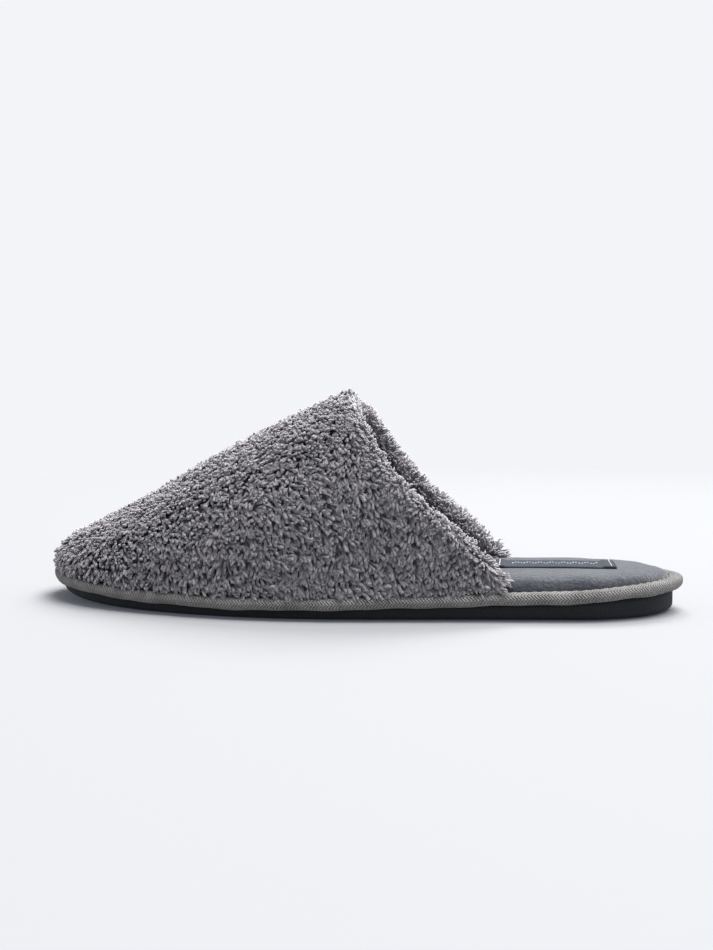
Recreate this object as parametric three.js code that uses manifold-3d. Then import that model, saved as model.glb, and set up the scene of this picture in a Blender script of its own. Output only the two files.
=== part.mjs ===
import * as THREE from 'three';
import { mergeVertices } from 'three/addons/utils/BufferGeometryUtils.js';
import Module from 'manifold-3d';

const wasm = await Module();
wasm.setup();
const { Manifold, Mesh: SolidMesh } = wasm;

// Left slipper. Toe towards -X, heel towards +X, outer side towards -Y, floor at z = 0.

// Driving sizes, in millimetres
const LENGTH = 288;
const BALL_WIDTH = 106;
const PEAK_HEIGHT = 90.5;
const RIM_HEIGHT = 10.4;
const GAP = 0.3;

// Edge binding
const BINDING_WIDTH = 6.2;
const BINDING_HEIGHT = 5.2;
const BINDING_OVERHANG = 4.4;

// Outsole
const SOLE_EDGE = 2.2;
const TOE_SPRING = 4.5;
const ARCH_LIFT = 2.2;

// Upper
const PILE_INSET = 1.8;
const BACKING = 2.8;
const WALL = 8;
const ROUNDNESS = 2.3;
const RIDGE_SHARE = 0.57;
const THROAT_SHARE = 0.502;
const TOE_SHARE = 0.25;
const ROLL_RADIUS = 5;
const ROLL_SETBACK = 4.4;
const LOCK_LENGTH = 21;
const LOCK_WIDTH = 10.6;
const LOCK_LIFT = 3.2;
const LOCK_SPACING = 13.8;
const SMALLEST_LOCK = 0.3;

// Insole and label
const CUSHION_HEIGHT = 18.5;
const LABEL_LENGTH = 52;
const LABEL_WIDTH = 22;
const LABEL_THICKNESS = 1;
const LABEL_FOLD = 4;
const LABEL_SHARE = 0.809;
const LABEL_ASIDE = -1.2;

// Resolution
const STEPS_PER_ROW = 3;
const ARCH_STEPS = 16;

// Outer edge of the binding seen from above: share of the length from the toe,
// then how far the outer and the inner side stand off the middle line, as shares of the ball width
const outlineRows = [
  { along: 0, outer: -0.085, inner: 0.085 },
  { along: 0.014, outer: 0.055, inner: 0.215 },
  { along: 0.05, outer: 0.2, inner: 0.315 },
  { along: 0.11, outer: 0.325, inner: 0.39 },
  { along: 0.19, outer: 0.415, inner: 0.44 },
  { along: 0.28, outer: 0.48, inner: 0.47 },
  { along: 0.37, outer: 0.515, inner: 0.475 },
  { along: 0.47, outer: 0.515, inner: 0.45 },
  { along: 0.58, outer: 0.48, inner: 0.41 },
  { along: 0.69, outer: 0.435, inner: 0.375 },
  { along: 0.79, outer: 0.4, inner: 0.365 },
  { along: 0.88, outer: 0.36, inner: 0.35 },
  { along: 0.945, outer: 0.265, inner: 0.27 },
  { along: 0.985, outer: 0.135, inner: 0.14 },
  { along: 1, outer: 0, inner: 0 },
];

// Underside of the binding, as shares of the rim height at the heel
const rimRows = [
  { along: 0, up: 0.83 },
  { along: 0.1, up: 0.6 },
  { along: 0.2, up: 0.47 },
  { along: 0.3, up: 0.41 },
  { along: 0.4, up: 0.4 },
  { along: 0.5, up: 0.46 },
  { along: 0.6, up: 0.53 },
  { along: 0.7, up: 0.615 },
  { along: 0.8, up: 0.69 },
  { along: 0.85, up: 0.74 },
  { along: 0.9, up: 0.85 },
  { along: 0.97, up: 0.96 },
  { along: 1, up: 1 },
];

// Underside of the sole, as shares of the toe spring
const treadRows = [
  { along: 0, up: 1 },
  { along: 0.05, up: 0.56 },
  { along: 0.11, up: 0.22 },
  { along: 0.18, up: 0.04 },
  { along: 0.22, up: 0 },
  { along: 0.3, up: 0 },
  { along: 0.9, up: 0 },
  { along: 0.95, up: 0 },
  { along: 1, up: 0.22 },
];

// Lift of the inner edge at the arch, as shares of the arch lift
const archRows = [
  { along: 0, up: 0 },
  { along: 0.4, up: 0 },
  { along: 0.5, up: 0.55 },
  { along: 0.58, up: 1 },
  { along: 0.66, up: 0.6 },
  { along: 0.76, up: 0 },
  { along: 1, up: 0 },
];

// Top line of the pile body seen from the side, as shares of the peak height
const crestRows = [
  { along: 0, up: 0.17 },
  { along: 0.006, up: 0.205 },
  { along: 0.02, up: 0.245 },
  { along: 0.05, up: 0.3 },
  { along: 0.09, up: 0.362 },
  { along: 0.148, up: 0.452 },
  { along: 0.219, up: 0.57 },
  { along: 0.292, up: 0.702 },
  { along: 0.363, up: 0.818 },
  { along: 0.435, up: 0.923 },
  { along: 0.49, up: 1 },
  { along: 0.56, up: 1.06 },
  { along: 0.7, up: 1.1 },
  { along: 0.85, up: 1.12 },
];

// Collar edge seen from the side, from the throat down to the rim
const collarRows = [
  { along: 0.496, up: 1.3 },
  { along: 0.5, up: 1.05 },
  { along: 0.508, up: 0.985 },
  { along: 0.524, up: 0.905 },
  { along: 0.549, up: 0.775 },
  { along: 0.577, up: 0.65 },
  { along: 0.61, up: 0.545 },
  { along: 0.643, up: 0.455 },
  { along: 0.684, up: 0.345 },
  { along: 0.715, up: 0.25 },
  { along: 0.735, up: 0.17 },
  { along: 0.745, up: 0.08 },
  { along: 0.748, up: -0.1 },
];

// Top of the footbed along its middle, as shares of the cushion height
const cushionRows = [
  { along: 0, up: 0.76 },
  { along: 0.1, up: 0.69 },
  { along: 0.3, up: 0.68 },
  { along: 0.45, up: 0.735 },
  { along: 0.55, up: 0.81 },
  { along: 0.65, up: 0.91 },
  { along: 0.74, up: 0.975 },
  { along: 0.85, up: 1 },
  { along: 1, up: 1 },
];

// Rounded section of the binding: share of its width inwards, share of its height
const bindingSection = [
  { inward: 0, up: 0.35 },
  { inward: 0, up: 0.68 },
  { inward: 0.16, up: 0.93 },
  { inward: 0.42, up: 1 },
  { inward: 0.86, up: 0.98 },
  { inward: 1, up: 0.82 },
  { inward: 0.97, up: 0 },
  { inward: 0.22, up: 0 },
];

// Section of the sole's edge: millimetres in from its wall, share of the edge height, arch share
const soleSection = [
  { inward: 16, up: 0, arch: 0 },
  { inward: 3.2, up: 0, arch: 0.8 },
  { inward: 1, up: 0.3, arch: 0.95 },
  { inward: 0, up: 1, arch: 1 },
];

// Section of the footbed: millimetres in from its edge, share of its own height
const cushionSection = [
  { inward: 0.4, up: 0 },
  { inward: 0, up: 0.52 },
  { inward: 0.9, up: 0.76 },
  { inward: 3, up: 0.9 },
  { inward: 7.5, up: 0.98 },
  { inward: 16, up: 1 },
];

// Smooth value of one column of a table at a share of the length
function valueAt(rows, share, column = 'up') {
  let i = 0;
  while (i < rows.length - 2 && share > rows[i + 1].along) {
    i += 1;
  }
  const before = rows[Math.max(i - 1, 0)];
  const start = rows[i];
  const end = rows[i + 1];
  const after = rows[Math.min(i + 2, rows.length - 1)];
  const span = end.along - start.along;
  const s = THREE.MathUtils.clamp((share - start.along) / span, 0, 1);
  const slopeIn = (end[column] - before[column]) / (end.along - before.along) * span;
  const slopeOut = (after[column] - start[column]) / (after.along - start.along) * span;
  const square = s * s;
  const cube = square * s;
  return (2 * cube - 3 * square + 1) * start[column] + (cube - 2 * square + s) * slopeIn
    + (3 * square - 2 * cube) * end[column] + (cube - square) * slopeOut;
}

const shareOf = (x) => x / LENGTH + 0.5;
const rimAt = (x) => RIM_HEIGHT * valueAt(rimRows, shareOf(x));
const treadAt = (x) => TOE_SPRING * Math.max(valueAt(treadRows, shareOf(x)), 0);
const archAt = (x) => ARCH_LIFT * Math.max(valueAt(archRows, shareOf(x)), 0);
const crestAt = (x) => PEAK_HEIGHT * valueAt(crestRows, shareOf(x));
const cushionAt = (x) => CUSHION_HEIGHT * valueAt(cushionRows, shareOf(x));
const pileBaseAt = (x) => rimAt(x) + BINDING_HEIGHT + GAP;

// The outline as a closed loop: toe tip, outer side, heel tip, inner side.
// Point i and point count - i face each other across the shoe.
function outlineLoop() {
  const place = (row, across) => new THREE.Vector3(LENGTH * (row.along - 0.5), BALL_WIDTH * across, 0);
  const outer = outlineRows.map((row) => place(row, -row.outer));
  const inner = outlineRows.slice(1, -1).reverse().map((row) => place(row, row.inner));
  const curve = new THREE.CatmullRomCurve3([...outer, ...inner], true, 'centripetal');
  const count = (outer.length + inner.length) * STEPS_PER_ROW;
  return Array.from({ length: count }, (_, i) => curve.getPoint(i / count));
}

const outline = outlineLoop();
const around = outline.length;

// The loop moved inwards, by one distance or by a distance that depends on x
function insetLoop(distance) {
  return outline.map((point, i) => {
    const ahead = outline[(i + 1) % around];
    const behind = outline[(i + around - 1) % around];
    const inwards = new THREE.Vector3(behind.y - ahead.y, ahead.x - behind.x, 0).normalize();
    const amount = typeof distance === 'function' ? distance(point.x) : distance;
    return point.clone().addScaledVector(inwards, amount);
  });
}

// An inset loop with heights from a function of x and of the side, 1 on the inner side
function ringAt(distance, heightAt) {
  return insetLoop(distance).map((point, i) => {
    const innerSide = i > around / 2 ? 1 : 0;
    return new THREE.Vector3(point.x, point.y, heightAt(point.x, innerSide));
  });
}

// A closed solid from points and faces, with equal points joined
function solidFrom(points, faces) {
  const seen = new Map();
  const kept = [];
  const index = points.map((point) => {
    const key = point.toArray().map((v) => Math.round(v * 1e4)).join();
    if (!seen.has(key)) {
      seen.set(key, kept.length / 3);
      kept.push(point.x, point.y, point.z);
    }
    return seen.get(key);
  });
  const corners = [];
  for (const face of faces) {
    const [a, b, c] = face.map((corner) => index[corner]);
    if (a !== b && b !== c && c !== a) {
      corners.push(a, b, c);
    }
  }
  const bodyFrom = (order) => new Manifold(new SolidMesh({
    numProp: 3,
    vertProperties: new Float32Array(kept),
    triVerts: new Uint32Array(order),
  }));
  const body = bodyFrom(corners);
  return body.volume() > 0 ? body : bodyFrom(corners.reverse());
}

// Two triangles across four corners
function addQuad(faces, a, b, c, d) {
  faces.push([a, b, c], [a, c, d]);
}

// A cap over a ring whose point i faces point count - i
function addCap(faces, start, count, upwards) {
  for (let i = 0; i < count / 2; i += 1) {
    const a = start + i;
    const b = start + i + 1;
    const c = start + count - i - 1;
    const d = start + (count - i) % count;
    const cap = [];
    addQuad(cap, a, b, c, d);
    for (const face of cap) {
      faces.push(upwards ? face : face.reverse());
    }
  }
}

// Skin over a stack of rings with equal counts, capped at both ends or joined end to end
function skin(rings, joined = false) {
  const count = rings[0].length;
  const faces = [];
  const spans = joined ? rings.length : rings.length - 1;
  for (let k = 0; k < spans; k += 1) {
    const here = k * count;
    const next = ((k + 1) % rings.length) * count;
    for (let i = 0; i < count; i += 1) {
      const j = (i + 1) % count;
      addQuad(faces, here + i, here + j, next + j, next + i);
    }
  }
  if (!joined) {
    addCap(faces, 0, count, false);
    addCap(faces, (rings.length - 1) * count, count, true);
  }
  return solidFrom(rings.flat(), faces);
}

// Outsole: lower face, rounded edge, wall and top
function outsoleSolid() {
  const lower = soleSection.map((row) => ringAt(
    BINDING_OVERHANG + row.inward,
    (x, innerSide) => treadAt(x) + SOLE_EDGE * row.up + archAt(x) * row.arch * innerSide,
  ));
  const top = ringAt(BINDING_OVERHANG, (x) => rimAt(x) - GAP);
  return skin([...lower, top]);
}

// Binding all round the rim, grown on every side where it has to clear another piece
function bindingSolid(grow = 0) {
  const width = BINDING_WIDTH + 2 * grow;
  const height = BINDING_HEIGHT + 2 * grow;
  const rings = bindingSection.map((row) => ringAt(
    row.inward * width - grow,
    (x) => rimAt(x) + row.up * height - grow,
  ));
  return skin(rings, true);
}

// The footbed fills the binding behind the collar and the upper's base in front of it
function cushionInset(x) {
  const behind = BINDING_WIDTH + GAP;
  const inFront = behind + BACKING + GAP;
  const share = THREE.MathUtils.smoothstep(shareOf(x), 0.752, 0.79);
  return THREE.MathUtils.lerp(inFront, behind, share);
}

function insoleSolid(grow = 0) {
  const rings = cushionSection.map((row) => ringAt(
    (x) => cushionInset(x) + row.inward - grow,
    (x) => rimAt(x) + (cushionAt(x) - rimAt(x)) * row.up + (row.up > 0 ? grow : -grow),
  ));
  return skin(rings);
}

// Section of the vamp between two facing points of a loop, from the outer to the inner side
function archSection(left, right, baseAt, topAt) {
  const power = 2 / ROUNDNESS;
  const points = [];
  for (let j = 0; j <= ARCH_STEPS; j += 1) {
    const angle = Math.PI * j / ARCH_STEPS;
    const reach = Math.abs(Math.cos(angle)) ** power;
    const across = angle < Math.PI / 2
      ? RIDGE_SHARE * (1 - reach)
      : RIDGE_SHARE + (1 - RIDGE_SHARE) * reach;
    const point = new THREE.Vector3().lerpVectors(left, right, across);
    const base = baseAt(point.x);
    const rise = Math.max(topAt(point.x) - base, 0.5);
    point.z = base + rise * Math.sin(angle) ** power;
    points.push(point);
  }
  return points;
}

const HOLLOW_INSET = BINDING_WIDTH + GAP + BACKING;
const REAR_STATION = outline.findIndex((point) => shareOf(point.x) > 0.84);

// Body of the vamp with its flat underside just above the binding
function pileBody() {
  const loop = insetLoop(PILE_INSET);
  const rings = [];
  for (let k = 0; k <= REAR_STATION; k += 1) {
    const left = loop[k];
    const right = loop[(around - k) % around];
    const arch = archSection(left, right, pileBaseAt, crestAt);
    const floor = arch[0].clone().lerp(arch[ARCH_STEPS], 0.5);
    rings.push([floor, ...arch]);
  }
  return skin(rings);
}

// Room for the foot, going down through the underside
function hollow() {
  const loop = insetLoop(HOLLOW_INSET);
  const rings = [];
  for (let k = 0; k <= REAR_STATION; k += 1) {
    const left = loop[k];
    const right = loop[(around - k) % around];
    const arch = archSection(left, right, pileBaseAt, (x) => crestAt(x) - WALL);
    const lower = [left, right].map((point) => new THREE.Vector3(point.x, point.y, -GAP));
    const floor = lower[0].clone().lerp(lower[1], 0.5);
    rings.push([floor, lower[0], ...arch, lower[1]]);
  }
  return skin(rings);
}

// Base wall of the vamp, standing inside the binding
function skirt() {
  const inset = BINDING_WIDTH + GAP;
  const lower = ringAt(inset, (x) => rimAt(x));
  const upper = ringAt(inset, (x) => pileBaseAt(x) + 1.5);
  return skin([lower, upper]);
}

// Everything behind and above the collar edge
function collarCutter() {
  const edge = collarRows.map((row) => new THREE.Vector2(
    LENGTH * (row.along - 0.5) - ROLL_SETBACK,
    PEAK_HEIGHT * row.up,
  ));
  const low = edge[edge.length - 1].y;
  const high = edge[0].y;
  const shape = new THREE.Shape([...edge, new THREE.Vector2(LENGTH, low), new THREE.Vector2(LENGTH, high)]);
  const block = new THREE.ExtrudeGeometry(shape, { depth: 2 * BALL_WIDTH, bevelEnabled: false });
  block.rotateX(Math.PI / 2);
  block.translate(0, BALL_WIDTH, 0);
  block.deleteAttribute('normal');
  block.deleteAttribute('uv');
  const merged = mergeVertices(block, 1e-4);
  const place = merged.attributes.position;
  const points = Array.from({ length: place.count }, (_, i) => new THREE.Vector3().fromBufferAttribute(place, i));
  const faces = [];
  for (let i = 0; i < merged.index.count; i += 3) {
    faces.push([merged.index.getX(i), merged.index.getX(i + 1), merged.index.getX(i + 2)]);
  }
  return solidFrom(points, faces);
}

// Half-way across the wall, the place at one x and height on one side of the vamp
const middleLoop = insetLoop((PILE_INSET + HOLLOW_INSET) / 2);

function wallPlace(x, z, innerSide) {
  let k = 0;
  while (middleLoop[k + 1].x < x) {
    k += 1;
  }
  const share = (x - middleLoop[k].x) / (middleLoop[k + 1].x - middleLoop[k].x);
  const left = middleLoop[k].clone().lerp(middleLoop[k + 1], share);
  const right = middleLoop[around - k].clone().lerp(middleLoop[around - k - 1], share);
  const ridge = left.y + (right.y - left.y) * RIDGE_SHARE;
  const edge = innerSide ? right.y : left.y;
  const base = pileBaseAt(x);
  const level = THREE.MathUtils.clamp((z - base) / (crestAt(x) - WALL / 2 - base), 0, 1);
  const reach = (1 - level ** ROUNDNESS) ** (1 / ROUNDNESS);
  return new THREE.Vector3(x, ridge + (edge - ridge) * reach, z);
}

// Line of the collar roll: up the outer side, over the throat and down the inner side
function collarLine() {
  const side = (innerSide) => collarRows
    .filter((row) => row.up < 0.92 && row.up >= 0.17)
    .map((row) => {
      const x = LENGTH * (row.along - 0.5) - ROLL_SETBACK;
      return wallPlace(x, PEAK_HEIGHT * row.up, innerSide);
    });
  const throatX = LENGTH * (THROAT_SHARE - 0.5) - ROLL_SETBACK;
  const throat = wallPlace(throatX, PEAK_HEIGHT * 1.5, 0);
  throat.z = crestAt(throatX) - WALL / 2;
  return new THREE.CatmullRomCurve3([...side(0).reverse(), throat, ...side(1)], false, 'centripetal');
}

function collarRoll() {
  const line = collarLine();
  const steps = 30;
  const frames = line.computeFrenetFrames(steps, false);
  const rings = [];
  for (let k = 0; k <= steps; k += 1) {
    const centre = line.getPointAt(k / steps);
    const ring = [];
    for (let i = 0; i < 8; i += 1) {
      const angle = 2 * Math.PI * i / 8;
      const point = centre.clone();
      point.addScaledVector(frames.normals[k], ROLL_RADIUS * Math.cos(angle));
      point.addScaledVector(frames.binormals[k], ROLL_RADIUS * Math.sin(angle));
      ring.push(point);
    }
    rings.push(ring);
  }
  return skin(rings);
}

// Repeatable scatter between 0 and 1
function scatter(a, b) {
  const value = Math.sin(a * 127.1 + b * 269.5) * 43758.5453;
  return value - Math.floor(value);
}

// One lock: sunk at its root, raised at its middle, pointed at its end
function lock(root, out, flow, size) {
  const side = new THREE.Vector3().crossVectors(out, flow).normalize();
  const place = (ahead, across, raised) => root.clone()
    .addScaledVector(flow, ahead * LOCK_LENGTH * size)
    .addScaledVector(side, across * LOCK_WIDTH * size / 2)
    .addScaledVector(out, raised * LOCK_LIFT * size);
  const points = [
    place(0, -0.8, -0.6),
    place(0, 0.8, -0.6),
    place(0.05, 0, 0.5),
    place(0.45, -1, -0.3),
    place(0.45, 1, -0.3),
    place(0.5, 0, 1),
    place(1, 0, 0.6),
  ];
  const faces = [
    [0, 2, 1],
    [0, 1, 4], [0, 4, 3],
    [1, 2, 5], [1, 5, 4],
    [2, 0, 3], [2, 3, 5],
    [3, 4, 6], [4, 5, 6], [5, 3, 6],
  ];
  return solidFrom(points, faces);
}

// The longest lock up to a size that stays clear of the pieces under the upper
function clearLock(root, out, flow, size, keepOut) {
  for (const share of [1, 0.8, 0.62, 0.48]) {
    const grown = lock(root, out, flow, size * share);
    if (size * share > SMALLEST_LOCK && grown.intersect(keepOut).isEmpty()) {
      return [grown];
    }
  }
  return [];
}

// Which way the nap runs on a surface that faces out: down, and a little towards the heel
function napFlow(out, lean, turn) {
  const pull = new THREE.Vector3(0.35, lean, -1);
  pull.addScaledVector(out, -pull.dot(out)).normalize();
  return pull.applyAxisAngle(out, turn);
}

// Is this place in front of the collar edge, with some room
function inFrontOfCollar(place, room) {
  for (let i = 0; i < collarRows.length - 1; i += 1) {
    const above = collarRows[i];
    const below = collarRows[i + 1];
    const up = place.z / PEAK_HEIGHT;
    if (up <= above.up && up >= below.up) {
      const share = (above.up - up) / (above.up - below.up);
      const along = THREE.MathUtils.lerp(above.along, below.along, share);
      return place.x < LENGTH * (along - 0.5) - room;
    }
  }
  return false;
}

// Locks in rows over the whole vamp
function vampLocks(keepOut) {
  const loop = insetLoop(PILE_INSET);
  const stations = loop.slice(0, REAR_STATION + 1).map((left, k) => (
    archSection(left, loop[(around - k) % around], pileBaseAt, crestAt)
  ));
  const placeOn = (k, j) => {
    const low = Math.min(Math.floor(k), stations.length - 2);
    const first = Math.min(Math.floor(j), ARCH_STEPS - 1);
    const front = stations[low][first].clone().lerp(stations[low][first + 1], j - first);
    const back = stations[low + 1][first].clone().lerp(stations[low + 1][first + 1], j - first);
    return front.lerp(back, k - low);
  };
  const locks = [];
  let row = 0;
  let station = 0.35;
  while (station < stations.length - 1) {
    let girth = 0;
    for (let j = 0; j < ARCH_STEPS; j += 1) {
      girth += placeOn(station, j).distanceTo(placeOn(station, j + 1));
    }
    const columns = Math.max(Math.round(girth / LOCK_SPACING), 3);
    for (let column = 0; column < columns; column += 1) {
      const shift = row % 2 ? 0.5 : 0;
      const share = (column + 0.25 + shift + 0.3 * (scatter(row, column) - 0.5)) / columns;
      const target = THREE.MathUtils.clamp(share, 0.02, 0.98) * girth;
      let walked = 0;
      let spot = 0;
      while (walked < target) {
        walked += placeOn(station, spot).distanceTo(placeOn(station, spot + 0.1));
        spot += 0.1;
      }
      const root = placeOn(station, spot);
      const acrossWay = placeOn(station, spot + 0.04).sub(placeOn(station, spot - 0.04));
      const alongWay = placeOn(station + 0.04, spot).sub(placeOn(Math.max(station - 0.04, 0), spot));
      const out = new THREE.Vector3().crossVectors(alongWay, acrossWay).normalize();
      const lean = 1.1 * (spot / ARCH_STEPS - 0.5);
      const flow = napFlow(out, lean, 0.7 * (scatter(row + 7, column) - 0.5));
      const drop = root.z - pileBaseAt(root.x) + 1.5;
      const lead = root.x + LENGTH / 2 + 1;
      const atToe = 1 - THREE.MathUtils.smoothstep(shareOf(root.x), 0, TOE_SHARE);
      const size = Math.min(
        (0.85 + 0.35 * scatter(column + 3, row)) * (1 - 0.4 * atToe),
        drop / (LOCK_LENGTH * Math.max(-flow.z, 0.01)),
        lead / (LOCK_LENGTH * Math.max(-flow.x, 0.01)),
      );
      if (inFrontOfCollar(root, 8)) {
        locks.push(...clearLock(root, out, flow, size, keepOut));
      }
    }
    let stepLength = 0;
    const top = ARCH_STEPS / 2;
    const start = placeOn(station, top);
    while (stepLength < LOCK_SPACING && station < stations.length - 1) {
      station += 0.05;
      stepLength = placeOn(Math.min(station, stations.length - 1), top).distanceTo(start);
    }
    row += 1;
  }
  return locks;
}

// Locks rolled over the outer side of the collar roll
function collarLocks(keepOut) {
  const line = collarLine();
  const total = line.getLength();
  const count = Math.round(total / 8);
  const locks = [];
  for (let k = 0; k <= count; k += 1) {
    const centre = line.getPointAt(k / count);
    const way = line.getTangentAt(k / count);
    const heelwards = new THREE.Vector3(1, 0, 0.55);
    heelwards.addScaledVector(way, -heelwards.dot(way)).normalize();
    const outwards = new THREE.Vector3().crossVectors(way, heelwards).normalize();
    if (outwards.y * centre.y < 0) {
      outwards.negate();
    }
    const angle = 0.85 + 0.5 * (scatter(k, 9) - 0.5);
    const out = heelwards.clone().multiplyScalar(Math.cos(angle));
    out.addScaledVector(outwards, Math.sin(angle)).normalize();
    const root = centre.clone().addScaledVector(out, ROLL_RADIUS * 0.86);
    const flow = outwards.clone().addScaledVector(out, -outwards.dot(out)).normalize();
    flow.addScaledVector(way, 0.7 * (scatter(k + 5, 9) - 0.5)).normalize();
    locks.push(...clearLock(root, out, flow, 0.45 + 0.2 * scatter(k, 5), keepOut));
  }
  return locks;
}

function upperSolid() {
  const shell = pileBody().add(skirt()).subtract(hollow()).subtract(collarCutter());
  const keepOut = bindingSolid(GAP * 1.1).add(insoleSolid(GAP * 1.1));
  const roll = collarRoll().subtract(keepOut);
  return Manifold.union([shell, roll, ...vampLocks(keepOut), ...collarLocks(keepOut)]).simplify(0.05);
}

// Label lying on the footbed, thicker where its two ends are folded under
function labelSolid() {
  const half = LABEL_LENGTH / 2;
  const centre = LENGTH * (LABEL_SHARE - 0.5);
  const stations = [-half, -half + LABEL_FOLD, -half + LABEL_FOLD + 0.6, 0,
    half - LABEL_FOLD - 0.6, half - LABEL_FOLD, half];
  const rings = stations.map((step) => {
    const x = centre + step;
    const folded = Math.abs(step) >= half - LABEL_FOLD;
    const low = cushionAt(x) + GAP;
    const high = low + LABEL_THICKNESS * (folded ? 1.4 : 1);
    const left = LABEL_ASIDE - LABEL_WIDTH / 2;
    const right = LABEL_ASIDE + LABEL_WIDTH / 2;
    return [
      new THREE.Vector3(x, LABEL_ASIDE, low),
      new THREE.Vector3(x, left, low),
      new THREE.Vector3(x, left, high - 0.3),
      new THREE.Vector3(x, left + 0.4, high),
      new THREE.Vector3(x, LABEL_ASIDE, high),
      new THREE.Vector3(x, right - 0.4, high),
      new THREE.Vector3(x, right, high - 0.3),
      new THREE.Vector3(x, right, low),
    ];
  });
  return skin(rings);
}

const group = new THREE.Group();
group.name = 'fuzzy_slipper';

function addPiece(name, solid, colour, roughness) {
  const mesh = solid.getMesh();
  const geometry = new THREE.BufferGeometry();
  const positions = [];
  for (let i = 0; i < mesh.numVert; i += 1) {
    const start = i * mesh.numProp;
    positions.push(...mesh.vertProperties.slice(start, start + 3));
  }
  geometry.setAttribute('position', new THREE.Float32BufferAttribute(positions, 3));
  geometry.setIndex(Array.from(mesh.triVerts));
  const piece = new THREE.Mesh(geometry, new THREE.MeshStandardMaterial({ color: colour, roughness }));
  piece.name = name;
  group.add(piece);
}

addPiece('outsole', outsoleSolid(), 0x24272b, 0.85);
addPiece('edge_binding', bindingSolid(), 0x706c67, 0.9);
addPiece('insole', insoleSolid(), 0x70757a, 0.95);
addPiece('upper', upperSolid(), 0x787476, 1);
addPiece('label', labelSolid(), 0x4b5563, 0.8);

export default group;
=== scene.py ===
import math

import bpy
import numpy as np
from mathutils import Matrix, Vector


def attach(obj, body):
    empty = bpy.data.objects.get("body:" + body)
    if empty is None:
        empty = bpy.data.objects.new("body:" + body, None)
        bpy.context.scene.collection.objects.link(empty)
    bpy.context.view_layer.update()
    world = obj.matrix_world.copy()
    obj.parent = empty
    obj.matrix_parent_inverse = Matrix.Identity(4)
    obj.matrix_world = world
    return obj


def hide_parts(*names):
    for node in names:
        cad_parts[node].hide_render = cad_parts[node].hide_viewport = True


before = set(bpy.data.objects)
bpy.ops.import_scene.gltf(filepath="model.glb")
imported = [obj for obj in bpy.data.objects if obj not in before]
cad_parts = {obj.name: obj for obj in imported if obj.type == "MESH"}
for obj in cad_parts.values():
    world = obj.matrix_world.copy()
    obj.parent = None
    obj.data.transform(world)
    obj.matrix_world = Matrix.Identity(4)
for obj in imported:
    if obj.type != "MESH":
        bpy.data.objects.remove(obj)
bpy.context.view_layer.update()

MM = 0.001
# All random numbers come from here, in the order in which the pieces are made
random = np.random.default_rng(11)

# Sizes in millimetres, as in the solid model: toe towards -X, heel +X, outer side -Y
LENGTH = 288
BALL_WIDTH = 106
PEAK_HEIGHT = 90.5
RIM_HEIGHT = 10.4
GAP = 0.3
BINDING_WIDTH = 6.2
BINDING_HEIGHT = 5.2
BINDING_OVERHANG = 4.4
SOLE_EDGE = 2.2
TOE_SPRING = 4.5
ARCH_LIFT = 2.2
PILE_INSET = 1.8
BACKING = 2.8
WALL = 8
ROUNDNESS = 2.3
RIDGE_SHARE = 0.57
THROAT_SHARE = 0.502
ROLL_RADIUS = 5
ROLL_SETBACK = 4.4
CUSHION_HEIGHT = 18.5
LABEL_LENGTH = 52
LABEL_WIDTH = 22
LABEL_SHARE = 0.809
LABEL_ASIDE = -1.2
HOLLOW_INSET = BINDING_WIDTH + GAP + BACKING
LABEL_CENTRE = LENGTH * (LABEL_SHARE - 0.5)
# How much higher the pile's crest stands than the solid's, as a factor
CREST_PUFF = 1.02
# Depths under the outside of the pile: of its backing and of its roots
BACKING_DEPTH = 2
ROOT_DEPTH = 1.4
# Depths under the outside of the collar's roll: of its bed and of its roots
ROLL_DEPTH = 1.6
COLLAR_ROOT_DEPTH = 2.6
# How far in front of the roll's middle the backing ends
KNIFE_SETBACK = 0.5
# Label and stitches, as the scene draws them
LABEL_THICKNESS = 0.9
LABEL_LIFT = 0.5
LABEL_FOLD = 5
LABEL_FOLD_RISE = 0.45
TAPE_STITCH_SPACING = 4.2
TAPE_STITCHES_FROM = 66
# Shares of the length: the vamp's last station, and where the footbed widens and over how much
REAR_SHARE = 0.84
WIDENING_FROM = 0.73
WIDENING_OVER = 0.022
# Shares of the peak height between which the roll follows the collar's table
ROLL_LOW = 0.17
ROLL_HIGH = 0.92
UP = (0.0, 0.0, 1.0)

# Share of the length from the toe, outer side, inner side, as shares of the ball width
OUTLINE = [
    (0, -0.085, 0.085),
    (0.014, 0.055, 0.215),
    (0.05, 0.2, 0.315),
    (0.11, 0.325, 0.39),
    (0.19, 0.415, 0.44),
    (0.28, 0.48, 0.47),
    (0.37, 0.515, 0.475),
    (0.47, 0.515, 0.45),
    (0.58, 0.48, 0.41),
    (0.69, 0.435, 0.375),
    (0.79, 0.4, 0.365),
    (0.88, 0.36, 0.35),
    (0.945, 0.265, 0.27),
    (0.985, 0.135, 0.14),
    (1, 0, 0),
]
# Share of the length, then height as a share of the rim, toe spring, arch, peak or cushion height
RIM = [
    (0, 0.83), (0.1, 0.6), (0.2, 0.47), (0.3, 0.41), (0.4, 0.4), (0.5, 0.46), (0.6, 0.53),
    (0.7, 0.615), (0.8, 0.69), (0.85, 0.74), (0.9, 0.85), (0.97, 0.96), (1, 1),
]
TREAD = [
    (0, 1), (0.05, 0.56), (0.11, 0.22), (0.18, 0.04), (0.22, 0), (0.3, 0), (0.9, 0),
    (0.95, 0), (1, 0.22),
]
ARCH = [(0, 0), (0.4, 0), (0.5, 0.55), (0.58, 1), (0.66, 0.6), (0.76, 0), (1, 0)]
CREST = [
    (0, 0.17), (0.006, 0.205), (0.02, 0.245), (0.05, 0.3), (0.09, 0.362), (0.148, 0.452),
    (0.219, 0.57), (0.292, 0.702), (0.363, 0.818), (0.435, 0.923), (0.49, 1), (0.56, 1.06),
    (0.7, 1.1), (0.85, 1.12),
]
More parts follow.
